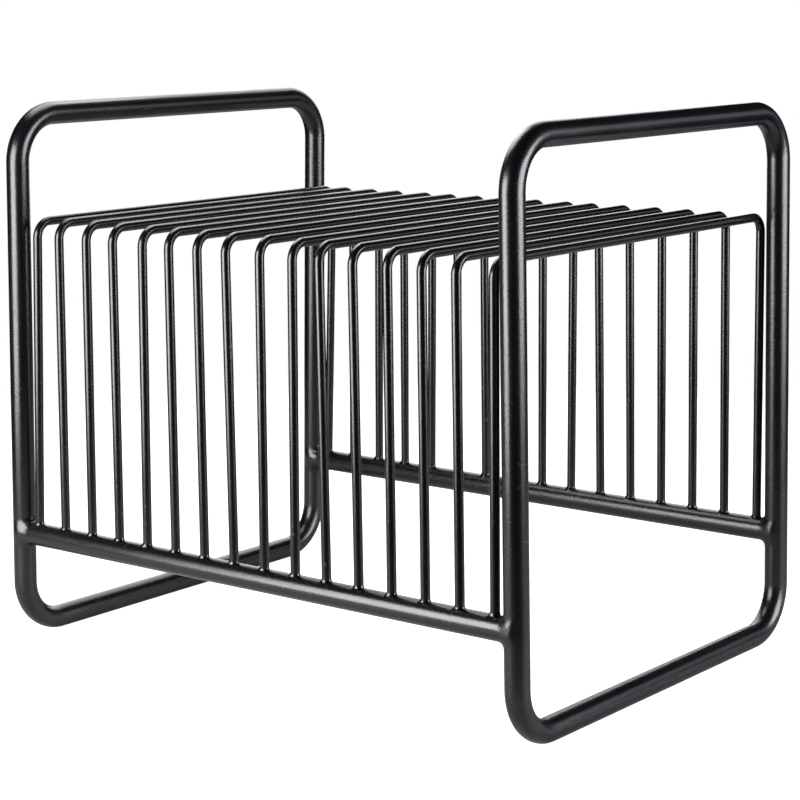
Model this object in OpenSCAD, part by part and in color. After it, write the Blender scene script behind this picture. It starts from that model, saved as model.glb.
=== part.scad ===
// Magazine rack: two bent-tube end frames joined low down by two rails, with a row of
// wire hoops standing on the rails. Magazines stand on edge between neighbouring hoops.
// +X runs along the rails from the left end frame to the right one, +Y to the rear, +Z up.
// The origin is on the floor, under the middle of the rack.

/* [Overall size] */
// Length over both end frames, at floor level
overall_length = 444; // [340:1:620]
// Depth over the front and rear uprights
overall_depth = 336; // [250:1:460]
// Height from the floor to the top of the handles
overall_height = 380; // [300:1:520]

/* [End frames] */
// Outside diameter of the tube that the end frames and rails are made of
tube_d = 16; // [12:0.5:20]
// Wall thickness of that tube
tube_wall = 1.2; // [0.8:0.1:2]
// Radius of the end frames' corner bends, to the middle of the tube
corner_r = 33; // [22:1:56]
// Angle at which each end frame leans in over the rack, in degrees
frame_lean = 1; // [0:0.1:2]

/* [Rails] */
// Height of the middle of both rails above the floor
rail_height = 77; // [68:1:110]
// Length cut off the pointed toes of the rails' fish-mouthed ends
toe_trim = 2; // [1:0.1:3]

/* [Wire hoops] */
// Number of wire hoops
hoop_count = 16; // [6:1:20]
// Diameter of the hoop wire
wire_d = 6.2; // [4:0.1:8]
// Radius of the hoops' top corner bends, to the middle of the wire
hoop_bend_r = 11; // [7:0.5:30]
// Height from the middle of the hoops' top wires to the middle of the handles
handle_rise = 73; // [45:1:110]
// Clear gap between each end hoop's feet and the upright beside them
end_gap = 4.7; // [3:0.1:12]
// How far each hoop's top is bent off even spacing, first hoop at the left, 0 past the list
hoop_offsets = [3, -2, -1.5, -2.5, -0.5, -2.5, -3, -4, -0.5, 1, -3, -2, -0.5, 0, 0, 2];

/* [Welds] */
// Width and height of the weld bead round each hoop foot
foot_weld = 2; // [1:0.1:2.5]
// Thickness of that bead at its thin edges
foot_weld_lip = 0.3; // [0.2:0.1:0.6]
// Thickness of the weld that joins a rail to an upright, where it meets the upright
rail_weld = 2.4; // [1.5:0.1:4]
// Thickness of that weld at its edge on the rail
rail_weld_lip = 1; // [0.5:0.1:1.5]
// Length of that weld along the rail, measured from the upright
rail_weld_run = 5; // [2:0.1:8]
// How far the rail weld laps past the middle of the upright
weld_lap = 2; // [1:0.1:3]

/* [Hidden] */
$fn = 96;
tube_r = tube_d / 2;
wire_r = wire_d / 2;
upright_y = (overall_depth - tube_d) / 2;
base_x = (overall_length - tube_d) / 2;
frame_rise = (overall_height - tube_d) / cos(frame_lean);
// Half the distance between the uprights' middles at the height of the rails
rail_end_x = base_x - (rail_height - tube_r) * tan(frame_lean);
hoop_height = overall_height - tube_r - handle_rise;
hoop_rise = hoop_height - rail_height;
first_hoop_x = rail_end_x - tube_r - end_gap - wire_r;
hoop_pitch = 2 * first_hoop_x / (hoop_count - 1);
frame_color = "#26272a";
wire_color = "#2b2c2f";
weld_color = "#1c1d1f";

function hoop_x(i) = -first_hoop_x + (i - 1) * hoop_pitch;
// The hoops' tops close up evenly as the frames lean in, and each one is a little off
function hoop_offset(i) = i <= len(hoop_offsets) ? hoop_offsets[i - 1] : 0;
function hoop_lean(i) = hoop_offset(i) - hoop_x(i) / rail_end_x * hoop_rise * tan(frame_lean);
function hoop_name(i) = str("wire_hoop_", i < 10 ? "0" : "", i);

// Section of a round tube, or of a round bar where the wall is the whole radius
module round_section(radius, wall) {
    difference() {
        circle(r = radius);
        if (wall < radius) circle(r = radius - wall);
    }
}

// Straight stretch from the origin along +X
module straight(length, radius, wall) {
    rotate([0, 90, 0]) linear_extrude(length) round_section(radius, wall);
}

// Quarter bend about the origin, from the +X side round to the +Y side
module bend(bend_r, radius, wall) {
    rotate_extrude(angle = 90) translate([bend_r, 0]) round_section(radius, wall);
}

// Closed rounded rectangle in the XY plane, its bottom bar centred on the X axis
module closed_loop(width, height, bend_r, radius, wall) {
    side_x = width / 2;
    turn_x = side_x - bend_r;
    side = height - 2 * bend_r;
    for (y = [0, height]) translate([-turn_x, y, 0]) straight(2 * turn_x, radius, wall);
    for (x = [-side_x, side_x]) translate([x, bend_r, 0]) rotate(90) straight(side, radius, wall);
    translate([turn_x, height - bend_r, 0]) bend(bend_r, radius, wall);
    translate([-turn_x, height - bend_r, 0]) rotate(90) bend(bend_r, radius, wall);
    translate([-turn_x, bend_r, 0]) rotate(180) bend(bend_r, radius, wall);
    translate([turn_x, bend_r, 0]) rotate(270) bend(bend_r, radius, wall);
}

// Upside-down U in the XY plane, its two legs standing on the X axis
module open_hoop(width, height, bend_r, radius) {
    side_x = width / 2;
    turn_x = side_x - bend_r;
    leg = height - bend_r;
    translate([-turn_x, height, 0]) straight(2 * turn_x, radius, radius);
    for (x = [-side_x, side_x]) translate([x, 0, 0]) rotate(90) straight(leg, radius, radius);
    translate([turn_x, leg, 0]) bend(bend_r, radius, radius);
    translate([-turn_x, leg, 0]) rotate(90) bend(bend_r, radius, radius);
}

// Stands a shape drawn in the XY plane up across the rack: X becomes Y and Y becomes Z
module stand_up() {
    rotate([90, 0, 90]) children();
}

// Places children at the foot of an end frame, leaning in; end is -1 at the left, 1 at the right
module at_frame(end) {
    translate([end * base_x, 0, tube_r]) rotate([0, -end * frame_lean, 0]) children();
}

// Places children at a hoop's middle, level with the rails, leaning as the hoop does
module at_hoop(i) {
    translate([hoop_x(i), 0, rail_height]) rotate([0, atan(hoop_lean(i) / hoop_rise), 0]) children();
}

// Solid bar in the place of one upright of an end frame
module upright_bar(end, y, radius) {
    at_frame(end) translate([0, y, 0]) cylinder(r = radius, h = frame_rise);
}

// Solid bar in the place of a rail, from one x to another
module rail_bar(y, from_x, to_x, radius) {
    translate([from_x, y, rail_height]) straight(to_x - from_x, radius, radius);
}

module end_frame(end) {
    color(frame_color)
        at_frame(end) stand_up() closed_loop(2 * upright_y, frame_rise, corner_r, tube_r, tube_wall);
}

module left_end_frame() {
    end_frame(-1);
}

module right_end_frame() {
    end_frame(1);
}

// Rail whose ends are fish-mouthed to fit the uprights
module rail(y) {
    half_length = rail_end_x - toe_trim;
    color(frame_color) difference() {
        translate([-half_length, y, rail_height]) straight(2 * half_length, tube_r, tube_wall);
        for (end = [-1, 1]) upright_bar(end, y, tube_r);
    }
}

module front_rail() {
    rail(-upright_y);
}

module rear_rail() {
    rail(upright_y);
}

// Hoop whose feet are cut to sit on the round backs of the rails
module wire_hoop(i) {
    color(wire_color) difference() {
        at_hoop(i) stand_up() open_hoop(2 * upright_y, hoop_rise, hoop_bend_r, wire_r);
        for (y = [-upright_y, upright_y]) rail_bar(y, hoop_x(i) - tube_d, hoop_x(i) + tube_d, tube_r);
    }
}

// Bead of weld round one foot of a hoop, down to the rail
module foot_bead(i, y) {
    bead_r = wire_r + foot_weld;
    bead_bottom = sqrt(tube_r * tube_r - bead_r * bead_r) - foot_weld_lip;
    bead_top = tube_r + foot_weld;
    difference() {
        at_hoop(i) translate([0, y, bead_bottom])
            cylinder(r1 = bead_r, r2 = wire_r + foot_weld_lip, h = bead_top - bead_bottom);
        at_hoop(i) translate([0, y, 0]) cylinder(r = wire_r, h = 2 * bead_top);
        rail_bar(y, hoop_x(i) - tube_d, hoop_x(i) + tube_d, tube_r);
    }
}

module front_foot_welds() {
    color(weld_color) for (i = [1:hoop_count]) foot_bead(i, -upright_y);
}

module rear_foot_welds() {
    color(weld_color) for (i = [1:hoop_count]) foot_bead(i, upright_y);
}

// Flared weld round the right-hand end of a rail, out to its upright
module rail_joint(y) {
    weld_x = rail_end_x - tube_r - rail_weld_run;
    difference() {
        translate([weld_x, y, rail_height]) rotate([0, 90, 0])
            cylinder(r1 = tube_r + rail_weld_lip, r2 = tube_r + rail_weld, h = rail_end_x + weld_lap - weld_x);
        rail_bar(y, weld_x - tube_r, rail_end_x - toe_trim, tube_r);
        upright_bar(1, y, tube_r);
    }
}

module rail_joint_welds() {
    color(weld_color) for (y = [-upright_y, upright_y]) {
        rail_joint(y);
        mirror([1, 0, 0]) rail_joint(y);
    }
}

left_end_frame();
right_end_frame();
front_rail();
rear_rail();
for (i = [1:hoop_count]) wire_hoop(i);
front_foot_welds();
rear_foot_welds();
rail_joint_welds();
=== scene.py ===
"""Looks of a welded magazine rack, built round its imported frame.

Two bent-tube end frames, two rails, a row of wire hoops and the weld beads that join
them stand on a pale studio floor, all under one satin black powder coat.
"""

import logging
import math
from collections.abc import Callable
from dataclasses import dataclass
from enum import Enum
from functools import cached_property

import bmesh
import bpy
from mathutils import Matrix, Vector, noise


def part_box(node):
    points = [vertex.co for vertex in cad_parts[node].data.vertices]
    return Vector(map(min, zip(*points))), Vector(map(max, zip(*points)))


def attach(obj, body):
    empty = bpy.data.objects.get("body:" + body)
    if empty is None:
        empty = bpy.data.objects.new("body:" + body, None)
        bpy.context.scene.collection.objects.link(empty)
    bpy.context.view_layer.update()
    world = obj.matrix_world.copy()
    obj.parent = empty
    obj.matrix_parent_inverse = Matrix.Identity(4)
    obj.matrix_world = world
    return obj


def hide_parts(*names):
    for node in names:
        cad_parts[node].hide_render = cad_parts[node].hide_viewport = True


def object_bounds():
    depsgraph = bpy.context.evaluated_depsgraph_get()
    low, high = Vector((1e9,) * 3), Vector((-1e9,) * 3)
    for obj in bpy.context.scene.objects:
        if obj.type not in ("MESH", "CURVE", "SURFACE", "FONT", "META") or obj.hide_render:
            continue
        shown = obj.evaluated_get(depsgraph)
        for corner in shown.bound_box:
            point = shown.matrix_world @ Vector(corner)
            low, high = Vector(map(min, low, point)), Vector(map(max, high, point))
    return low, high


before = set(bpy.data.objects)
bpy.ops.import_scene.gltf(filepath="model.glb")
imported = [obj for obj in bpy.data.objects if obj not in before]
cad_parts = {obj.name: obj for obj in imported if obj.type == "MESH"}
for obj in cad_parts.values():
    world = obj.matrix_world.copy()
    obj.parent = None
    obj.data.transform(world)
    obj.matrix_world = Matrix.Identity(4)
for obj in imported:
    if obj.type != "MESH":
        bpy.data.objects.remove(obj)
CAD_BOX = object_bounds()

log = logging.getLogger("magazine_rack")

MM = 0.001
WHITE = (1.0, 1.0, 1.0, 1.0)
BODY = "root"
# Points that are closer together than this are one point
SAME_POINT = 0.001 * MM
# Faces that meet at more than this angle, in radians, meet in a crisp edge
CREASE = 0.7


class Finish(Enum):
    """The record's material slots, one for each kind of piece."""

    TUBE = "coated_tube"
    WIRE = "coated_wire"
    WELD = "coated_weld"


class End(Enum):
    """The two ends of the rack, by the sign of their x."""

    LEFT = -1
    RIGHT = 1


class Side(Enum):
    """The two long sides of the rack, by the sign of their y."""

    FRONT = -1
    REAR = 1


# Sizes read from the frame


@dataclass(frozen=True)
class RackSizes:
    """Sizes of the welded frame, in metres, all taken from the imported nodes.

    Attributes:
        tube_r: Outside radius of the frame and rail tube.
        wire_r: Radius of the hoop wire.
        upright_y: Distance from the middle plane to the middle of an upright or rail.
        base_x: Distance from the middle plane to an end frame's bottom bar.
        top_x: Distance from the middle plane to an end frame's top bar.
        top_z: Height of the middle of the top bars.
        rail_z: Height of the middle of the rails.
    """

    tube_r: float
    wire_r: float
    upright_y: float
    base_x: float
    top_x: float
    top_z: float
    rail_z: float

    @classmethod
    def from_frame(cls) -> "RackSizes":
        """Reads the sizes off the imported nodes' boxes."""
        rail_low, rail_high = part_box("front_rail")
        end_low, end_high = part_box("right_end_frame")
        hoop_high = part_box("wire_hoop_01")[1]
        tube_r = (rail_high.z - rail_low.z) / 2
        upright_y = end_high.y - tube_r
        return cls(
            tube_r=tube_r,
            wire_r=hoop_high.y - upright_y,
            upright_y=upright_y,
            base_x=end_high.x - tube_r,
            top_x=end_low.x + tube_r,
            top_z=end_high.z - tube_r,
            rail_z=(rail_high.z + rail_low.z) / 2,
        )

    @property
    def lean(self) -> float:
        """Angle at which the end frames lean in, in radians."""
        return math.atan((self.base_x - self.top_x) / (self.top_z - self.tube_r))

    @property
    def frame_rise(self) -> float:
        """Length of an end frame between its bottom and top bars' middles."""
        return math.hypot(self.base_x - self.top_x, self.top_z - self.tube_r)

    def upright_x(self, z: float) -> float:
        """Distance from the middle plane to an upright's middle at height z."""
        return self.base_x - (z - self.tube_r) * math.tan(self.lean)


def middle_x(node: str, low_z: float, high_z: float) -> float:
    """Finds the middle of a node's x extent between two heights.

    Args:
        node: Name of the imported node.
        low_z: Lower height of the band, in metres.
        high_z: Upper height of the band, in metres.

    Returns:
        The x halfway between the node's outermost points in the band.
    """
    found = [v.co.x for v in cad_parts[node].data.vertices if low_z <= v.co.z <= high_z]
    return (min(found) + max(found)) / 2


# Mesh helpers


def ring_edges(verts: list[bmesh.types.BMVert]) -> list[bmesh.types.BMEdge]:
    """Lists the edges that lie wholly among some vertices.

    Args:
        verts: The vertices of one ring.

    Returns:
        The ring's own edges.
    """
    among = set(verts)
    return list({e for v in verts for e in v.link_edges if e.other_vert(v) in among})


class Section:
    """An open ring of vertices that is pushed and turned to grow a tube.

    Attributes:
        mesh: The mesh that the tube grows in.
        verts: The vertices of the ring at the growing end.
    """

    def __init__(self, mesh: bmesh.types.BMesh, radius: float, count: int, place: Matrix) -> None:
        """Starts a tube with a circle.

        Args:
            mesh: The mesh to grow in.
            radius: Radius of the circle, in metres.
            count: Number of vertices round the circle.
            place: Where the circle lies; it is drawn about the matrix's own z axis.
        """
        self.mesh = mesh
        made = bmesh.ops.create_circle(
            mesh, cap_ends=False, radius=radius, segments=count, matrix=place
        )
        self.verts: list[bmesh.types.BMVert] = made["verts"]

    def grow(self) -> list[bmesh.types.BMVert]:
        """Extrudes the ring in place and returns the new ring."""
        made = bmesh.ops.extrude_edge_only(self.mesh, edges=ring_edges(self.verts))
        self.verts = [g for g in made["geom"] if isinstance(g, bmesh.types.BMVert)]
        return self.verts

    def grow_in_order(self) -> list[bmesh.types.BMVert]:
        """Extrudes the ring in place and returns the new ring in the old one's order."""
        previous = list(self.verts)
        among = set(self.grow())
        self.verts = [
            next(e.other_vert(v) for e in v.link_edges if e.other_vert(v) in among)
            for v in previous
        ]
        return self.verts

    def push(self, step: Vector) -> None:
        """Extrudes the ring straight on by a step."""
        bmesh.ops.translate(self.mesh, verts=self.grow(), vec=step)

    def turn(self, centre: Vector, axis: Vector, angle: float, steps: int) -> None:
        """Spins the ring round a bend.

        Args:
            centre: Middle of the bend.
            axis: Axis that the bend turns about.
            angle: Angle of the bend, in radians.
            steps: Number of new rings in the bend.
        """
        made = bmesh.ops.spin(
            self.mesh, geom=self.verts + ring_edges(self.verts), cent=centre, axis=axis,
            dvec=(0, 0, 0), angle=angle, steps=steps, use_merge=False, use_duplicate=False,
        )
        self.verts = [g for g in made["geom_last"] if isinstance(g, bmesh.types.BMVert)]

    def cap(self) -> None:
        """Closes the ring with a fan of triangles."""
        made = bmesh.ops.holes_fill(self.mesh, edges=ring_edges(self.verts), sides=0)
        bmesh.ops.poke(self.mesh, faces=made["faces"])


def weld_collar(
    mesh: bmesh.types.BMesh, radius: float, around: int, layers: list[tuple[float, float]],
    point_at: Callable[[float, float, float], Vector],
) -> None:
    """Builds a closed ring-shaped weld, layer by layer.

    Args:
        mesh: The mesh to build in.
        radius: Radius of what the weld goes round.
        around: Vertices in each layer.
        layers: Each layer's share of the way across the weld, and its offset.
        point_at: Gives a point of the weld for an angle, a share and an offset.
    """
    ring = Section(mesh, radius, around, Matrix.Identity(4))
    first = list(ring.verts)
    angles = [math.atan2(v.co.y, v.co.x) for v in first]
    for number, (share, offset) in enumerate(layers):
        verts = ring.grow_in_order() if number else first
        for vert, angle in zip(verts, angles):
            vert.co = point_at(angle, share, offset)
    bmesh.ops.bridge_loops(mesh, edges=ring_edges(first) + ring_edges(ring.verts))


def ripple_at(seed: Vector, angle: float, waves: float, along: float) -> float:
    """Finds the height of a weld's ripples at a point of a ring-shaped bead.

    Args:
        seed: A point that makes each bead's ripples its own.
        angle: Angle round the bead.
        waves: How close together the ripples are round the bead.
        along: How far across the bead the point is.

    Returns:
        The height, from about -1 to 1.
    """
    return noise.noise(seed + Vector((waves * math.cos(angle), waves * math.sin(angle), along)))


def flatten_corner(
    mesh: bmesh.types.BMesh, centre: Vector, out: Vector, bend_r: float, share: float
) -> None:
    """Flattens a bent tube a little across its bend, as a tube bender does.

    Args:
        mesh: Mesh whose bend lies in the YZ plane.
        centre: Middle of the bend.
        out: Signs of y and z that point out of the corner.
        bend_r: Radius of the bend, to the middle of the tube.
        share: Share of the tube's thickness that is lost in the middle of the bend.
    """
    for vert in mesh.verts:
        across = (vert.co.y - centre.y) * out.y
        up = (vert.co.z - centre.z) * out.z
        if across <= 0 or up <= 0:
            continue
        reach = math.hypot(across, up)
        squeeze = share * math.sin(2 * math.atan2(up, across))
        moved = (bend_r + (reach - bend_r) * (1 - squeeze)) / reach
        vert.co.y = centre.y + across * moved * out.y
        vert.co.z = centre.z + up * moved * out.z


def place_mesh(
    mesh: bmesh.types.BMesh, name: str, material: bpy.types.Material
) -> bpy.types.Object:
    """Turns a bmesh into an object at the origin.

    Args:
        mesh: The mesh, which is freed.
        name: Name of the new object.
        material: Its finish.

    Returns:
        The new object, linked to the scene.
    """
    data = bpy.data.meshes.new(name)
    mesh.to_mesh(data)
    mesh.free()
    data.materials.append(material)
    placed = bpy.data.objects.new(name, data)
    bpy.context.scene.collection.objects.link(placed)
    return placed


def finish_mesh(
    mesh: bmesh.types.BMesh, name: str, material: bpy.types.Material
) -> bpy.types.Object:
    """Cleans and smooths a piece's mesh, and places it.

    Args:
        mesh: The mesh, which is freed.
        name: Name of the new piece.
        material: The piece's finish.

    Returns:
        The new piece.
    """
    bmesh.ops.remove_doubles(mesh, verts=mesh.verts, dist=SAME_POINT)
    bmesh.ops.recalc_face_normals(mesh, faces=mesh.faces)
    for face in mesh.faces:
        face.smooth = True
    for edge in mesh.edges:
        edge.smooth = edge.is_manifold and edge.calc_face_angle() < CREASE
    return place_mesh(mesh, name, material)


def fit_piece(piece: bpy.types.Object, finish: Finish, *nodes: str) -> bpy.types.Object:
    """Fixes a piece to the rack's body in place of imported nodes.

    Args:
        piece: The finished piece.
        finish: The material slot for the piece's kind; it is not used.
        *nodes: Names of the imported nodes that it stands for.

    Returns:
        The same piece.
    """
    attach(piece, BODY)
    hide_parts(*nodes)
    log.info("%s: %d faces", piece.name, len(piece.data.polygons))
    return piece


# Finishes


class NodeSheet:
    """Short ways to add and join the nodes of one node tree."""

    def __init__(self, tree: bpy.types.NodeTree) -> None:
        """Keeps the tree that the nodes go into."""
        self.tree = tree

    def join(self, source: object, target: bpy.types.NodeSocket) -> None:
        """Gives an input its source.

        Args:
            source: A socket, or a plain value.
            target: The input.
        """
        if isinstance(source, bpy.types.NodeSocket):
            self.tree.links.new(source, target)
        else:
            target.default_value = source

    def fill(self, node: bpy.types.Node, inputs: dict[str | int, object]) -> bpy.types.Node:
        """Gives several inputs of a node their sources.

        Args:
            node: The node.
            inputs: A socket or a plain value for each input, by its name or number.

        Returns:
            The same node.
        """
        for key, source in inputs.items():
            self.join(source, node.inputs[key])
        return node

    def add(
        self, kind: str, inputs: dict[str | int, object] | None = None, **settings: object
    ) -> bpy.types.Node:
        """Adds a node.

        Args:
            kind: Blender's name for the node's type.
            inputs: A socket or a plain value for each input, by its name or number.
            **settings: Properties of the node, by name.

        Returns:
            The new node.
        """
        node = self.tree.nodes.new(kind)
        for name, value in settings.items():
            setattr(node, name, value)
        return self.fill(node, inputs or {})

    def math(self, operation: str, first: object, second: object) -> bpy.types.NodeSocket:
        """Adds a Math node.

        Args:
            operation: The node's operation.
            first: A socket or a number.
            second: A socket or a number.

        Returns:
            The node's output.
        """
        return self.add("ShaderNodeMath", {0: first, 1: second}, operation=operation).outputs[0]

    def noise(
        self, place: bpy.types.NodeSocket, scale: object, detail: float
    ) -> bpy.types.NodeSocket:
        """Adds a noise texture.

        Args:
            place: Coordinates.
            scale: A socket or a number, in cycles per metre.
            detail: Octaves of finer noise.

        Returns:
            The noise's value, from 0 to 1.
        """
        inputs = {"Vector": place, "Scale": scale, "Detail": detail}
        return self.add("ShaderNodeTexNoise", inputs).outputs["Fac"]

    def ramp(self, value: bpy.types.NodeSocket, low: float, high: float) -> bpy.types.NodeSocket:
        """Stretches a value so that low becomes 0 and high becomes 1, with smooth ends.

        Args:
            value: The value to stretch.
            low: The value that becomes 0.
            high: The value that becomes 1.

        Returns:
            The stretched value.
        """
        inputs = {"Value": value, "From Min": low, "From Max": high}
        node = self.add("ShaderNodeMapRange", inputs, interpolation_type="SMOOTHSTEP")
        return node.outputs["Result"]

    def mix(
        self, share: bpy.types.NodeSocket, first: object, second: object
    ) -> bpy.types.NodeSocket:
        """Blends two colours.

        Args:
            share: Share of the second colour.
            first: A socket or a colour.
            second: A socket or a colour.

        Returns:
            The blend.
        """
        inputs = {"Factor": share, "A": first, "B": second}
        return self.add("ShaderNodeMix", inputs, data_type="RGBA").outputs["Result"]

    def spots(
        self, place: bpy.types.NodeSocket, scale: float, foot: float, crown: float,
        bare: float, channel: str,
    ) -> bpy.types.NodeSocket:
        """Scatters small round spots, with none in most of the cells.

        Args:
            place: Coordinates.
            scale: Cells per metre.
            foot: Radius where a spot begins, as a share of a cell.
            crown: Radius inside which it is full, as a share of a cell.
            bare: Share of the cells that hold no spot.
            channel: Colour channel of the cells that picks them.

        Returns:
            The spots' strength, from 0 to 1.
        """
        cells = self.add("ShaderNodeTexVoronoi", {"Vector": place, "Scale": scale}, feature="F1")
        chosen = self.add("ShaderNodeSeparateColor", {"Color": cells.outputs["Color"]})
        rare = self.math("GREATER_THAN", chosen.outputs[channel], bare)
        return self.math("MULTIPLY", self.ramp(cells.outputs["Distance"], foot, crown), rare)


@dataclass(frozen=True)
class EffectGroup:
    """A shader node group with named inputs and outputs, built once.

    Attributes:
        name: Name of the group.
        inputs: Input names with their socket types.
        outputs: Output names with their socket types.
    """

    name: str
    inputs: tuple[tuple[str, str], ...]
    outputs: tuple[tuple[str, str], ...]

    def start(self) -> tuple[NodeSheet, bpy.types.Node, bpy.types.Node]:
        """Makes the empty group.

        Returns:
            A sheet for its nodes, its input node and its output node.
        """
        tree = bpy.data.node_groups.new(self.name, "ShaderNodeTree")
        for label, kind in self.inputs:
            tree.interface.new_socket(name=label, in_out="INPUT", socket_type=kind)
        for label, kind in self.outputs:
            tree.interface.new_socket(name=label, in_out="OUTPUT", socket_type=kind)
        sheet = NodeSheet(tree)
        return sheet, sheet.add("NodeGroupInput"), sheet.add("NodeGroupOutput")


class CoatEffects:
    """The effects that all powder-coated pieces share."""

    FLOAT = "NodeSocketFloat"
    PLACE = "NodeSocketVector"
    COLOR = "NodeSocketColor"
    # Fineness of the grain against the orange peel
    GRAIN_RATIO = 3.7
    # Nibs and specks: cells per metre, radii of a spot's foot and crown as shares of a
    # cell, and the share of the cells that hold none
    NIBS = (140.0, 0.075, 0.02, 0.93)
    SPECKS = (420.0, 0.16, 0.05, 0.94)
    # Drifts of gloss: cycles per metre, and how far the roughness swings
    DRIFT = (26.0, 0.12)
    # Rubbed streaks: cycles per metre across and along the bars, and of their patches
    RUB_SCALE = 190.0
    RUB_STRETCH = (1.0, 0.16, 1.0)
    PATCH_SCALE = 9.0
    # Values of those two noises where a streak and a patch begin and are full
    RUB_FROM = (0.62, 0.74)
    PATCH_FROM = (0.52, 0.66)
    # Extra roughness where the coat is rubbed or dusty
    MARK_ROUGHNESS = 0.25

    def __init__(self) -> None:
        """Builds the groups."""
        self.skin = self.build_skin()
        self.tone = self.build_tone()

    def build_skin(self) -> bpy.types.NodeTree:
        """Builds the relief of a powder coat: orange peel, fine grain and dust nibs.

        Returns:
            The group, which puts out a height from about 0 to 1.
        """
        sheet, given, made = EffectGroup(
            "coat_skin",
            (("Place", self.PLACE), ("Peel Scale", self.FLOAT), ("Grain", self.FLOAT),
             ("Nibs", self.FLOAT)),
            (("Height", self.FLOAT),),
        ).start()
        place = given.outputs["Place"]
        peel_scale = given.outputs["Peel Scale"]
        peel = sheet.noise(place, peel_scale, detail=1.0)
        grain_scale = sheet.math("MULTIPLY", peel_scale, self.GRAIN_RATIO)
        grain = sheet.noise(place, grain_scale, detail=2.0)
        grain = sheet.math("MULTIPLY", grain, given.outputs["Grain"])
        nib = sheet.spots(place, *self.NIBS, channel="Red")
        nib = sheet.math("MULTIPLY", nib, given.outputs["Nibs"])
        height = sheet.math("ADD", sheet.math("ADD", peel, grain), nib)
        sheet.join(height, made.inputs["Height"])
        return sheet.tree

    def build_tone(self) -> bpy.types.NodeTree:
        """Builds the coat's colour and gloss: drifts of tone, dust specks and rubbed streaks.

        Returns:
            The group, which puts out a colour and a roughness.
        """
        sheet, given, made = EffectGroup(
            "coat_tone",
            (("Place", self.PLACE), ("Coat", self.COLOR), ("Rubbed", self.COLOR),
             ("Roughness", self.FLOAT), ("Rub Amount", self.FLOAT), ("Dust", self.FLOAT)),
            (("Color", self.COLOR), ("Roughness", self.FLOAT)),
        ).start()
        place = given.outputs["Place"]
        drift = sheet.noise(place, self.DRIFT[0], detail=3.0)
        streaks = sheet.add("ShaderNodeMapping", {"Vector": place, "Scale": self.RUB_STRETCH})
        rubs = sheet.noise(streaks.outputs["Vector"], self.RUB_SCALE, detail=4.0)
        patches = sheet.noise(place, self.PATCH_SCALE, detail=2.0)
        rubs = sheet.ramp(rubs, *self.RUB_FROM)
        rub = sheet.math("MULTIPLY", rubs, sheet.ramp(patches, *self.PATCH_FROM))
        rub = sheet.math("MULTIPLY", rub, given.outputs["Rub Amount"])
        speck = sheet.spots(place, *self.SPECKS, channel="Green")
        speck = sheet.math("MULTIPLY", speck, given.outputs["Dust"])
        mark = sheet.math("MAXIMUM", rub, speck)
        blend = sheet.mix(mark, given.outputs["Coat"], given.outputs["Rubbed"])
        swing = sheet.math("MULTIPLY", sheet.math("SUBTRACT", drift, 0.5), self.DRIFT[1])
        rough = sheet.math("ADD", given.outputs["Roughness"], swing)
        rough = sheet.math("ADD", rough, sheet.math("MULTIPLY", mark, self.MARK_ROUGHNESS))
        sheet.fill(made, {"Color": blend, "Roughness": rough})
        return sheet.tree


@dataclass(frozen=True)
class PowderCoat:
    """A baked black powder coat over steel.

    Attributes:
        name: Name of the material.
        color: Colour of the coat.
        rubbed: Colour where it is rubbed or dusty.
        roughness: Roughness of the clean coat.
        peel_scale: Orange peel's cycles per metre.
        peel_depth: Depth of the relief, in metres.
        grain: Strength of the fine grain against the orange peel.
        nibs: Height of dust nibs under the coat against the orange peel.
        rub_amount: Strength of rubbed streaks.
        dust: Strength of dust specks.
        ior: Refractive index of the coat.
    """

    name: str
    color: tuple[float, float, float, float] = (0.0020, 0.0022, 0.0032, 1.0)
    rubbed: tuple[float, float, float, float] = (0.03, 0.029, 0.027, 1.0)
    roughness: float = 0.27
    peel_scale: float = 620.0
    peel_depth: float = 0.07 * MM
    grain: float = 0.35
    nibs: float = 1.2
    rub_amount: float = 0.5
    dust: float = 0.4
    ior: float = 1.52

    def build(self, effects: CoatEffects) -> bpy.types.Material:
        """Makes the material.

        Args:
            effects: The shared node groups.

        Returns:
            The material.
        """
        material = bpy.data.materials.new(self.name)
        material.use_nodes = True
        sheet = NodeSheet(material.node_tree)
        shader = material.node_tree.nodes["Principled BSDF"]
        place = sheet.add("ShaderNodeTexCoord").outputs["Object"]
        tone = sheet.add(
            "ShaderNodeGroup",
            {"Place": place, "Coat": self.color, "Rubbed": self.rubbed,
             "Roughness": self.roughness, "Rub Amount": self.rub_amount, "Dust": self.dust},
            node_tree=effects.tone,
        )
        skin = sheet.add(
            "ShaderNodeGroup",
            {"Place": place, "Peel Scale": self.peel_scale, "Grain": self.grain, "Nibs": self.nibs},
            node_tree=effects.skin,
        )
        relief = {"Strength": 1.0, "Distance": self.peel_depth, "Height": skin.outputs["Height"]}
        sheet.fill(shader, {
            "IOR": self.ior,
            "Base Color": tone.outputs["Color"],
            "Roughness": tone.outputs["Roughness"],
            "Normal": sheet.add("ShaderNodeBump", relief).outputs["Normal"],
        })
        return material


# The rack's pieces


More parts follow.
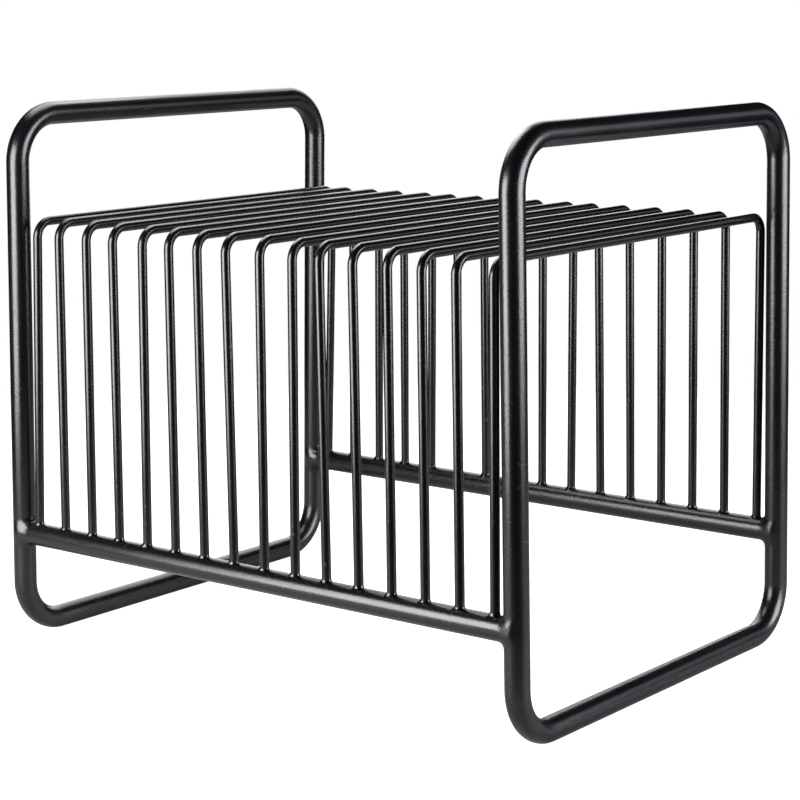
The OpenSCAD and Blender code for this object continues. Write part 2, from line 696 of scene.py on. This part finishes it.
@dataclass
class EndFrame:
    """A closed rounded rectangle of bent tube: foot, two uprights and handle in one.

    Attributes:
        sizes: Sizes of the rack.
        end: Which end of the rack it stands at.
        corner_r: Radius of its bends, to the middle of the tube.
        around: Vertices round the tube.
        bend_steps: Rings in each bend.
        flattening: Share of the tube's thickness lost in the middle of a bend.
    """

    sizes: RackSizes
    end: End
    corner_r: float = 33 * MM
    around: int = 56
    bend_steps: int = 26
    flattening: float = 0.045

    def build(self, coat: bpy.types.Material) -> bpy.types.Object:
        """Bends the tube round its four corners and stands it in place.

        Args:
            coat: The tube's finish.

        Returns:
            The finished piece.
        """
        half = self.sizes.upright_y
        rise = self.sizes.frame_rise
        turn_y = half - self.corner_r
        mesh = bmesh.new()
        along_y = Matrix.Rotation(math.radians(-90), 4, "X")
        tube = Section(mesh, self.sizes.tube_r, self.around, along_y)
        axis = Vector((1, 0, 0))
        low, high = self.corner_r, rise - self.corner_r
        run = (
            (Vector((0, turn_y, 0)), Vector((0, turn_y, low))),
            (Vector((0, 0, high - low)), Vector((0, turn_y, high))),
            (Vector((0, -2 * turn_y, 0)), Vector((0, -turn_y, high))),
            (Vector((0, 0, low - high)), Vector((0, -turn_y, low))),
        )
        for step, centre in run:
            tube.push(step)
            tube.turn(centre, axis, math.pi / 2, self.bend_steps)
        tube.push(Vector((0, turn_y, 0)))
        for y_sign in (-1, 1):
            for z_sign, z in ((-1, low), (1, high)):
                centre = Vector((0, y_sign * turn_y, z))
                out = Vector((0, y_sign, z_sign))
                flatten_corner(mesh, centre, out, self.corner_r, self.flattening)
        lean = Matrix.Rotation(-self.end.value * self.sizes.lean, 4, "Y")
        foot = Matrix.Translation((self.end.value * self.sizes.base_x, 0, self.sizes.tube_r))
        bmesh.ops.transform(mesh, matrix=foot @ lean, verts=mesh.verts)
        node = f"{self.end.name.lower()}_end_frame"
        piece = finish_mesh(mesh, f"{node}_tube", coat)
        return fit_piece(piece, Finish.TUBE, node)


@dataclass
class Rail:
    """A straight tube between two uprights, its ends fish-mouthed to fit them.

    Attributes:
        sizes: Sizes of the rack.
        side: Which side of the rack it runs along.
        wall: Wall thickness of the tube.
        around: Vertices round the tube.
        rings: Rings along the tube.
    """

    sizes: RackSizes
    side: Side
    wall: float = 1.2 * MM
    around: int = 56
    rings: int = 12

    def cope_x(self, end: End, y: float, z: float) -> float:
        """Finds where the rail's end meets the upright's surface.

        Args:
            end: Which end of the rail.
            y: Distance from the rail's middle, across the rack.
            z: Distance above the rail's middle.

        Returns:
            The x of the upright's near surface there.
        """
        middle = self.sizes.upright_x(self.sizes.rail_z + z)
        return end.value * (middle - math.sqrt(max(self.sizes.tube_r**2 - y * y, 0)))

    def build(self, coat: bpy.types.Material) -> bpy.types.Object:
        """Draws the tube, copes both ends and closes its wall.

        Args:
            coat: The tube's finish.

        Returns:
            The finished piece.
        """
        mesh = bmesh.new()
        start_x = -self.sizes.upright_x(self.sizes.rail_z)
        step = Vector((-2 * start_x / self.rings, 0, 0))
        rail_y = self.side.value * self.sizes.upright_y
        place = Matrix.Translation((start_x, rail_y, self.sizes.rail_z))
        place = place @ Matrix.Rotation(math.radians(90), 4, "Y")
        ends: dict[End, list[bmesh.types.BMVert]] = {End.LEFT: [], End.RIGHT: []}
        bores = []
        for radius in (self.sizes.tube_r, self.sizes.tube_r - self.wall):
            tube = Section(mesh, radius, self.around, place)
            bores.append([list(tube.verts)])
            ends[End.LEFT] += tube.verts
            for _ in range(self.rings):
                tube.push(step)
            bores[-1].append(list(tube.verts))
            ends[End.RIGHT] += tube.verts
        for end, verts in ends.items():
            for vert in verts:
                vert.co.x = self.cope_x(end, vert.co.y - rail_y, vert.co.z - self.sizes.rail_z)
        for outer, inner in zip(*bores):
            bmesh.ops.bridge_loops(mesh, edges=ring_edges(outer) + ring_edges(inner))
        node = f"{self.side.name.lower()}_rail"
        piece = finish_mesh(mesh, f"{node}_tube", coat)
        return fit_piece(piece, Finish.TUBE, node)


@dataclass
class WireHoop:
    """One upside-down U of wire, its feet cut to sit on the backs of the rails.

    Attributes:
        sizes: Sizes of the rack.
        number: Number of the hoop, from 1 at the left.
        bend_r: Radius of its bends, to the middle of the wire.
        around: Vertices round the wire.
        bend_steps: Rings in each bend.
        leg_rings: Rings along each leg.
        flattening: Share of the wire's thickness lost in the middle of a bend.
    """

    sizes: RackSizes
    number: int
    bend_r: float = 11 * MM
    around: int = 32
    bend_steps: int = 16
    leg_rings: int = 10
    flattening: float = 0.05

    @property
    def node(self) -> str:
        """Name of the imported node."""
        return f"wire_hoop_{self.number:02d}"

    @cached_property
    def top_z(self) -> float:
        """Height of the middle of the top wire."""
        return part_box(self.node)[1].z - self.sizes.wire_r

    @cached_property
    def foot_x(self) -> float:
        """The x of the middle of the feet."""
        low_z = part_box(self.node)[0].z
        return middle_x(self.node, low_z, low_z + self.sizes.wire_r / 2)

    @cached_property
    def top_x(self) -> float:
        """The x of the middle of the top wire."""
        return middle_x(self.node, self.top_z - self.sizes.wire_r, self.top_z + self.sizes.wire_r)

    @cached_property
    def slope(self) -> float:
        """How far the hoop leans along the rack for each metre of height."""
        foot_z = self.sizes.rail_z + self.sizes.tube_r
        return (self.top_x - self.foot_x) / (self.top_z - foot_z)

    def build(self, coat: bpy.types.Material) -> bpy.types.Object:
        """Bends the wire, cuts its feet to the rails and leans it into place.

        Args:
            coat: The wire's finish.

        Returns:
            The finished piece.
        """
        half, foot_z = self.sizes.upright_y, self.sizes.rail_z
        turn_y = half - self.bend_r
        turn_z = self.top_z - self.bend_r
        mesh = bmesh.new()
        wire = Section(mesh, self.sizes.wire_r, self.around, Matrix.Translation((0, -half, foot_z)))
        feet = list(wire.verts)
        axis = Vector((-1, 0, 0))
        rise = Vector((0, 0, (turn_z - foot_z) / self.leg_rings))
        for _ in range(self.leg_rings):
            wire.push(rise)
        wire.turn(Vector((0, -turn_y, turn_z)), axis, math.pi / 2, self.bend_steps)
        wire.push(Vector((0, 2 * turn_y, 0)))
        wire.turn(Vector((0, turn_y, turn_z)), axis, math.pi / 2, self.bend_steps)
        for _ in range(self.leg_rings):
            wire.push(-rise)
        feet += wire.verts
        for y_sign in (-1, 1):
            centre = Vector((0, y_sign * turn_y, turn_z))
            flatten_corner(mesh, centre, Vector((0, y_sign, 1)), self.bend_r, self.flattening)
        for vert in feet:
            off = abs(vert.co.y) - half
            vert.co.z = foot_z + math.sqrt(self.sizes.tube_r**2 - off * off)
        wire.cap()
        wire.verts = feet[: self.around]
        wire.cap()
        crown_z = foot_z + self.sizes.tube_r
        for vert in mesh.verts:
            vert.co.x += self.foot_x + self.slope * (vert.co.z - crown_z)
        return fit_piece(finish_mesh(mesh, f"{self.node}_wire", coat), Finish.WIRE, self.node)


@dataclass
class FootWelds:
    """The beads of weld round the hoops' feet along one rail.

    Attributes:
        sizes: Sizes of the rack.
        side: Which rail they are on.
        hoops: The hoops that they hold.
        spread: How far a bead reaches over the rail.
        climb: How far a bead climbs the wire.
        start_spread: Extra reach of the lump where each weld was struck.
        struck: Where round the wire each weld was struck, in degrees from the right.
        wander: How far that place wanders from bead to bead, in radians.
        uneven: Share by which beads differ in size.
        ripple: How the ripples change a bead's reach and climb, as shares of each.
        lump_climb: Share by which the lump climbs higher.
        waves: How close together the ripples are.
        fall: Powers that shape the bead's slope, outward and upward.
        toe_sink: How far the bead's first ring lies inside the wire.
        core_share: Where the closing ring lies, as a share of the way to the rail.
        core_sink: How deep that ring lies inside the bead.
        around: Vertices round a bead.
        rings: Rings between the wire and the rail.
    """

    sizes: RackSizes
    side: Side
    hoops: list[WireHoop]
    spread: float = 0.55 * MM
    climb: float = 1.5 * MM
    start_spread: float = 1.8 * MM
    struck: float = 228.0
    wander: float = 0.9
    uneven: float = 0.35
    ripple: tuple[float, float] = (0.3, 0.45)
    lump_climb: float = 0.5
    waves: float = 1.6
    fall: tuple[float, float] = (1.5, 1.6)
    toe_sink: float = 0.15 * MM
    core_share: float = 0.7
    core_sink: float = 0.9 * MM
    around: int = 36
    rings: int = 8

    def bead(self, mesh: bmesh.types.BMesh, hoop: WireHoop) -> None:
        """Builds one bead round a foot.

        Args:
            mesh: The mesh that holds all the beads.
            hoop: The hoop whose foot it is.
        """
        sizes = self.sizes
        rail_y = self.side.value * sizes.upright_y
        seed = Vector((hoop.number * 3.7, self.side.value * 11.3, 5.1))
        struck = math.radians(self.struck) + self.wander * noise.noise(seed)
        size = 1 + self.uneven * noise.noise(seed * 1.9)

        def point_at(angle: float, share: float, sink: float) -> Vector:
            """Finds a point of the bead, a share of the way from the wire to the rail."""
            lump = max(math.cos(angle - struck), 0.0) ** 2
            ripple = ripple_at(seed, angle, self.waves, 2 * share)
            reach = size * (self.spread + self.start_spread * lump)
            reach *= 1 + self.ripple[0] * ripple
            climb = size * self.climb
            climb *= 1 + self.lump_climb * lump + self.ripple[1] * ripple
            out = sizes.wire_r + reach * share ** self.fall[0] - sink
            dx, dy = out * math.cos(angle), out * math.sin(angle)
            over_rail = math.sqrt(sizes.tube_r**2 - min(dy * dy, sizes.tube_r**2))
            z = over_rail + climb * (1 - share) ** self.fall[1] - sink
            x = hoop.foot_x + dx + hoop.slope * (z - sizes.tube_r)
            return Vector((x, rail_y + dy, sizes.rail_z + z))

        layers = [(0.0, self.toe_sink)]
        layers += [(step / self.rings, 0.0) for step in range(1, self.rings + 1)]
        layers.append((self.core_share, self.core_sink))
        weld_collar(mesh, sizes.wire_r, self.around, layers, point_at)

    def build(self, coat: bpy.types.Material) -> bpy.types.Object:
        """Builds all the beads of one rail as one piece.

        Args:
            coat: The beads' finish.

        Returns:
            The finished piece.
        """
        mesh = bmesh.new()
        for hoop in self.hoops:
            self.bead(mesh, hoop)
        node = f"{self.side.name.lower()}_foot_welds"
        return fit_piece(finish_mesh(mesh, f"{node}_beads", coat), Finish.WELD, node)


@dataclass
class RailJointWelds:
    """The fillets of weld between the rails' ends and the uprights.

    Attributes:
        sizes: Sizes of the rack.
        blend: How far a fillet reaches out of the corner over each tube.
        ripple: Height of the weld's ripples.
        skin: How far its thin edges stand off the tubes.
        waves: How close together the ripples are.
        rough_lumps: How much higher the ripples are on the roughest joint.
        core_share: Where the closing ring lies, as a share of the way to the upright.
        core_sink: How deep that ring lies inside the fillet.
        around: Vertices round a joint.
        rings: Rings across a fillet.
        settling: Steps taken to settle a point on the fillet's surface.
        halvings: Steps taken to find the fillet's edge on the upright.
        probe: Distance between the points that give the surface's slope.
        least_slope: Least squared slope that a settling step divides by.
    """

    sizes: RackSizes
    blend: float = 4.8 * MM
    ripple: float = 0.14 * MM
    skin: float = 0.02 * MM
    waves: float = 2.6
    rough_lumps: float = 4.0
    core_share: float = 0.5
    core_sink: float = 2.4 * MM
    around: int = 96
    rings: int = 12
    settling: int = 8
    halvings: int = 20
    probe: float = 0.02 * MM
    least_slope: float = 0.05

    def off_rail(self, point: Vector) -> float:
        """Finds how far a point is from the rail, whose end is at the joint's middle."""
        gap = math.hypot(point.y, point.z) - self.sizes.tube_r
        return math.hypot(max(gap, 0.0), point.x) if point.x > 0 else gap

    def depth(self, point: Vector) -> float:
        """Finds how far a point lies outside the fillet's surface.

        Args:
            point: A point, from the joint's middle, with the rail on its -x side.

        Returns:
            The distance, by the smooth union of the rail's end and the upright.
        """
        off_rail = self.off_rail(point)
        off_upright = math.hypot(point.x, point.y) - self.sizes.tube_r
        overlap = max(self.blend - abs(off_rail - off_upright), 0.0) / self.blend
        return min(off_rail, off_upright) - overlap**2 * self.blend / 4

    def slope(self, point: Vector) -> Vector:
        """Finds the direction out of the fillet at a point."""
        shifts = Matrix.Identity(3) * self.probe
        found = Vector(self.depth(point + d) - self.depth(point - d) for d in shifts)
        return found / (2 * self.probe)

    def settle(self, point: Vector) -> tuple[Vector, Vector]:
        """Moves a point onto the fillet's surface.

        Args:
            point: A point near the surface.

        Returns:
            The point on the surface, and the direction out of it.
        """
        for _ in range(self.settling):
            slope = self.slope(point)
            steepness = max(slope.length_squared, self.least_slope)
            point = point - slope * (self.depth(point) / steepness)
        return point, self.slope(point).normalized()

    def upper_edge(self, angle: float) -> Vector:
        """Finds where the fillet ends on the upright.

        Args:
            angle: Angle round the rail, from the top.

        Returns:
            The point of the upright, in line with that angle, that is a full blend off the rail.
        """
        tube_r = self.sizes.tube_r
        up, out = math.cos(angle), math.sin(angle)
        wrap = math.asin(min(abs(out), 1.0))
        near, far = 0.0, 3 * self.blend
        for _ in range(self.halvings):
            reach = (near + far) / 2
            turn = wrap + abs(out) * reach / tube_r
            side = math.copysign(tube_r * math.sin(turn), out)
            point = Vector((-tube_r * math.cos(turn), side, up * (tube_r + reach)))
            if self.off_rail(point) < self.blend:
                near = reach
            else:
                far = reach
        return point

    def guess(self, angle: float, share: float) -> Vector:
        """Places a point roughly on the fillet.

        Args:
            angle: Angle round the rail, from the top.
            share: Share of the way from the rail to the upright.

        Returns:
            The point, from the joint's middle.
        """
        tube_r = self.sizes.tube_r
        up, out = math.cos(angle), math.sin(angle)
        root = Vector((-tube_r * abs(up), tube_r * out, tube_r * up))
        on_rail = Vector((-math.sqrt((tube_r + self.blend) ** 2 - root.y**2), root.y, root.z))
        on_upright = self.upper_edge(angle)
        return on_rail * (1 - share) ** 2 + root * 2 * share * (1 - share) + on_upright * share**2

    def joint(self, mesh: bmesh.types.BMesh, end: End, side: Side) -> None:
        """Builds one fillet in the corner of a joint.

        Args:
            mesh: The mesh that holds all the fillets.
            end: Which end of the rail.
            side: Which rail.
        """
        sizes = self.sizes
        rail_y = side.value * sizes.upright_y
        seed = Vector((end.value * 7.1, side.value * 4.3, 2.7))
        roughest = end is End.LEFT and side is Side.REAR
        height = self.ripple * (self.rough_lumps if roughest else 1.0)

        def point_at(angle: float, share: float, lift: float) -> Vector:
            """Finds a point of the fillet, a share of the way from the rail to the upright."""
            point, out = self.settle(self.guess(angle, share))
            wave = ripple_at(seed, angle, self.waves, share)
            point += out * (lift + math.sin(math.pi * share) ** 2 * height * wave)
            z = sizes.rail_z + point.z
            return Vector((end.value * (sizes.upright_x(z) + point.x), rail_y + point.y, z))

        layers = [(0.0, -self.skin)]
        layers += [(step / self.rings, self.skin) for step in range(1, self.rings)]
        layers += [(1.0, -self.skin), (self.core_share, -self.core_sink)]
        weld_collar(mesh, sizes.tube_r, self.around, layers, point_at)

    def build(self, coat: bpy.types.Material) -> bpy.types.Object:
        """Builds the four fillets as one piece.

        Args:
            coat: The fillets' finish.

        Returns:
            The finished piece.
        """
        mesh = bmesh.new()
        for end in End:
            for side in Side:
                self.joint(mesh, end, side)
        piece = finish_mesh(mesh, "rail_joint_fillets", coat)
        return fit_piece(piece, Finish.WELD, "rail_joint_welds")


# Studio


@dataclass(frozen=True)
class Floor:
    """A round pale floor whose rim fades out, set back behind the rack.

    Attributes:
        middle: Where its middle is.
        radius: Radius of the floor.
        fade: Width of the rim that fades out.
        color: Colour of the floor.
        mottle: Share by which the mottling darkens it.
        mottle_scale: The mottling's cycles per metre.
        roughness: Roughness of the floor.
        sheen: Strength of its shine.
        wash: Extra paleness that only the camera sees, so that no shade shows.
    """

    middle: tuple[float, float] = (-0.15, 0.26)
    radius: float = 0.86
    fade: float = 0.26
    color: tuple[float, float, float, float] = (0.5, 0.5, 0.5, 1.0)
    mottle: float = 0.03
    mottle_scale: float = 3.0
    roughness: float = 0.6
    sheen: float = 0.2
    wash: float = 1.0

    def build(self) -> bpy.types.Object:
        """Lays the floor and gives it its finish.

        Returns:
            The floor.
        """
        mesh = bmesh.new()
        place = Matrix.Translation((*self.middle, 0))
        bmesh.ops.create_circle(mesh, cap_ends=True, radius=self.radius, segments=96, matrix=place)
        floor = place_mesh(mesh, "studio_floor", self.finish())
        return floor

    def finish(self) -> bpy.types.Material:
        """Makes the floor's material: faintly mottled, and clear at the rim.

        Returns:
            The material.
        """
        material = bpy.data.materials.new("pale_floor")
        material.use_nodes = True
        sheet = NodeSheet(material.node_tree)
        shader = material.node_tree.nodes["Principled BSDF"]
        seen = sheet.add("ShaderNodeLightPath").outputs["Is Camera Ray"]
        place = sheet.add("ShaderNodeTexCoord").outputs["Object"]
        mottle = sheet.noise(place, self.mottle_scale, detail=2.0)
        darker = (*((1 - self.mottle) * c for c in self.color[:3]), 1.0)
        ends = {0: place, 1: (*self.middle, 0)}
        reach = sheet.add("ShaderNodeVectorMath", ends, operation="DISTANCE").outputs["Value"]
        sheet.fill(shader, {
            "Base Color": sheet.mix(mottle, self.color, darker),
            "Roughness": self.roughness,
            "Specular IOR Level": self.sheen,
            "Emission Color": WHITE,
            "Emission Strength": sheet.math("MULTIPLY", seen, self.wash),
            "Alpha": sheet.ramp(reach, self.radius, self.radius - self.fade),
        })
        return material


@dataclass(frozen=True)
class SoftBox:
    """A soft rectangular studio light.

    Attributes:
        name: Name of the light.
        place: Where its middle is.
        aim: The point that it faces.
        width: Width across.
        height: Height.
        brightness: How bright its face is.
        color: Colour of its light.
    """

    name: str
    place: tuple[float, float, float]
    aim: tuple[float, float, float]
    width: float
    height: float
    brightness: float
    color: tuple[float, float, float] = (1.0, 1.0, 1.0)

    def build(self) -> bpy.types.Object:
        """Hangs the light.

        Returns:
            The light.
        """
        data = bpy.data.lights.new(self.name, "AREA")
        data.shape = "RECTANGLE"
        data.size = self.width
        data.size_y = self.height
        data.energy = self.brightness * math.pi * self.width * self.height
        data.color = self.color
        lamp = bpy.data.objects.new(self.name, data)
        bpy.context.scene.collection.objects.link(lamp)
        toward = Vector(self.aim) - Vector(self.place)
        facing = toward.to_track_quat("-Z", "Y").to_matrix().to_4x4()
        lamp.matrix_world = Matrix.Translation(self.place) @ facing
        lamp.visible_camera = False
        return lamp


@dataclass(frozen=True)
class Studio:
    """Plain soft light all round the rack, before a white background.

    Attributes:
        background: Brightness of the background that the camera sees.
        surround: Brightness of the dim room that the coat reflects.
        room_color: Colour of that room.
        boxes: The soft lights.
    """

    background: float = 1.0
    surround: float = 0.012
    room_color: tuple[float, float, float, float] = (0.95, 0.97, 1.0, 1.0)
    boxes: tuple[SoftBox, ...] = (
        SoftBox(
            "front_left_box", place=(-0.25, -0.81, 0.33), aim=(0.05, 0.0, 0.22),
            width=0.57, height=0.60, brightness=14.5,
        ),
        SoftBox(
            "right_box", place=(1.50, 0.37, 0.46), aim=(0.0, 0.0, 0.25),
            width=1.15, height=0.80, brightness=13.0, color=(0.97, 0.96, 1.0),
        ),
        SoftBox(
            "rear_left_box", place=(-1.05, 0.95, 0.82), aim=(-1.05, 0.0, 0.72),
            width=1.6, height=1.3, brightness=2.5, color=(1.0, 0.99, 0.98),
        ),
        SoftBox(
            "upper_left_box", place=(-0.24, 0.01, 0.76), aim=(0.15, -0.16, 0.34),
            width=0.38, height=0.40, brightness=5.5, color=(1.0, 0.99, 0.94),
        ),
        SoftBox(
            "rear_right_box", place=(1.15, 1.25, 0.60), aim=(0.2, 0.0, 0.37),
            width=1.0, height=0.5, brightness=0.8, color=(0.78, 0.87, 1.0),
        ),
    )

    def build(self) -> None:
        """Sets the surroundings and hangs the lights."""
        world = bpy.data.worlds.new("studio")
        world.use_nodes = True
        bpy.context.scene.world = world
        sheet = NodeSheet(world.node_tree)
        room = world.node_tree.nodes["Background"]
        sheet.fill(room, {"Color": self.room_color, "Strength": self.surround})
        white = sheet.add("ShaderNodeBackground", {"Color": WHITE, "Strength": self.background})
        seen = sheet.add("ShaderNodeLightPath").outputs["Is Camera Ray"]
        mix = sheet.add("ShaderNodeMixShader", {0: seen, 1: room.outputs[0], 2: white.outputs[0]})
        sheet.join(mix.outputs[0], world.node_tree.nodes["World Output"].inputs["Surface"])
        for box in self.boxes:
            box.build()
            log.info("light %s", box.name)


@dataclass(frozen=True)
class RackCamera:
    """The camera, placed round the middle of the rack.

    Attributes:
        azimuth: Angle round the rack from straight in front, to the right, in degrees.
        elevation: Angle that it looks down at, in degrees.
        roll: Tilt of the picture, in degrees.
        distance: Distance from the point that it looks at.
        aim: That point, from the middle of the rack's box.
        lens: Focal length, in millimetres.
        sensor: Width of the sensor, in millimetres.
        shift_y: How far the picture is shifted up, as a share of its width.
    """

    azimuth: float = 37.81
    elevation: float = 9.08
    roll: float = -0.25
    distance: float = 1.6007
    aim: tuple[float, float, float] = (0.0012, 0.0, 0.0171)
    lens: float = 103.0
    sensor: float = 36.0
    shift_y: float = -0.0625

    def build(self) -> bpy.types.Object:
        """Sets up the camera and makes it the scene's own.

        Returns:
            The camera.
        """
        data = bpy.data.cameras.new("rack_camera")
        data.sensor_width = self.sensor
        data.lens = self.lens
        data.shift_y = self.shift_y
        camera = bpy.data.objects.new("rack_camera", data)
        bpy.context.scene.collection.objects.link(camera)
        turn, down = math.radians(self.azimuth), math.radians(self.elevation)
        back = Vector((
            math.sin(turn) * math.cos(down),
            -math.cos(turn) * math.cos(down),
            math.sin(down),
        ))
        target = (CAD_BOX[0] + CAD_BOX[1]) / 2 + Vector(self.aim)
        facing = (-back).to_track_quat("-Z", "Y").to_matrix().to_4x4()
        roll = Matrix.Rotation(math.radians(self.roll), 4, "Z")
        camera.matrix_world = Matrix.Translation(target + back * self.distance) @ facing @ roll
        bpy.context.scene.camera = camera
        return camera


def main() -> None:
    """Builds the rack's pieces, the studio and the camera, and reports each."""
    logging.basicConfig(level=logging.INFO, format="%(message)s")
    RackCamera().build()
    sizes = RackSizes.from_frame()
    log.info("sizes: %s", sizes)
    effects = CoatEffects()
    tube_coat = PowderCoat("black_powder_coat_tube").build(effects)
    wire_coat = PowderCoat(
        "black_powder_coat_wire", roughness=0.25, peel_scale=700.0, peel_depth=0.03 * MM,
        nibs=0.6, rub_amount=0.7,
    ).build(effects)
    bead_coat = PowderCoat(
        "black_powder_coat_bead", roughness=0.2, peel_scale=420.0, peel_depth=0.1 * MM, dust=0.1
    ).build(effects)
    fillet_coat = PowderCoat("black_powder_coat_fillet", nibs=1.8, rub_amount=0.2).build(effects)
    for end in End:
        EndFrame(sizes, end).build(tube_coat)
    for side in Side:
        Rail(sizes, side).build(tube_coat)
    count = sum(name.startswith("wire_hoop_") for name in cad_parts)
    hoops = [WireHoop(sizes, number) for number in range(1, count + 1)]
    for hoop in hoops:
        hoop.build(wire_coat)
    for side in Side:
        FootWelds(sizes, side, hoops).build(bead_coat)
    RailJointWelds(sizes).build(fillet_coat)
    Floor().build()
    Studio().build()
    bpy.context.scene.view_settings.view_transform = "Standard"


if __name__ == "__main__":
    main()
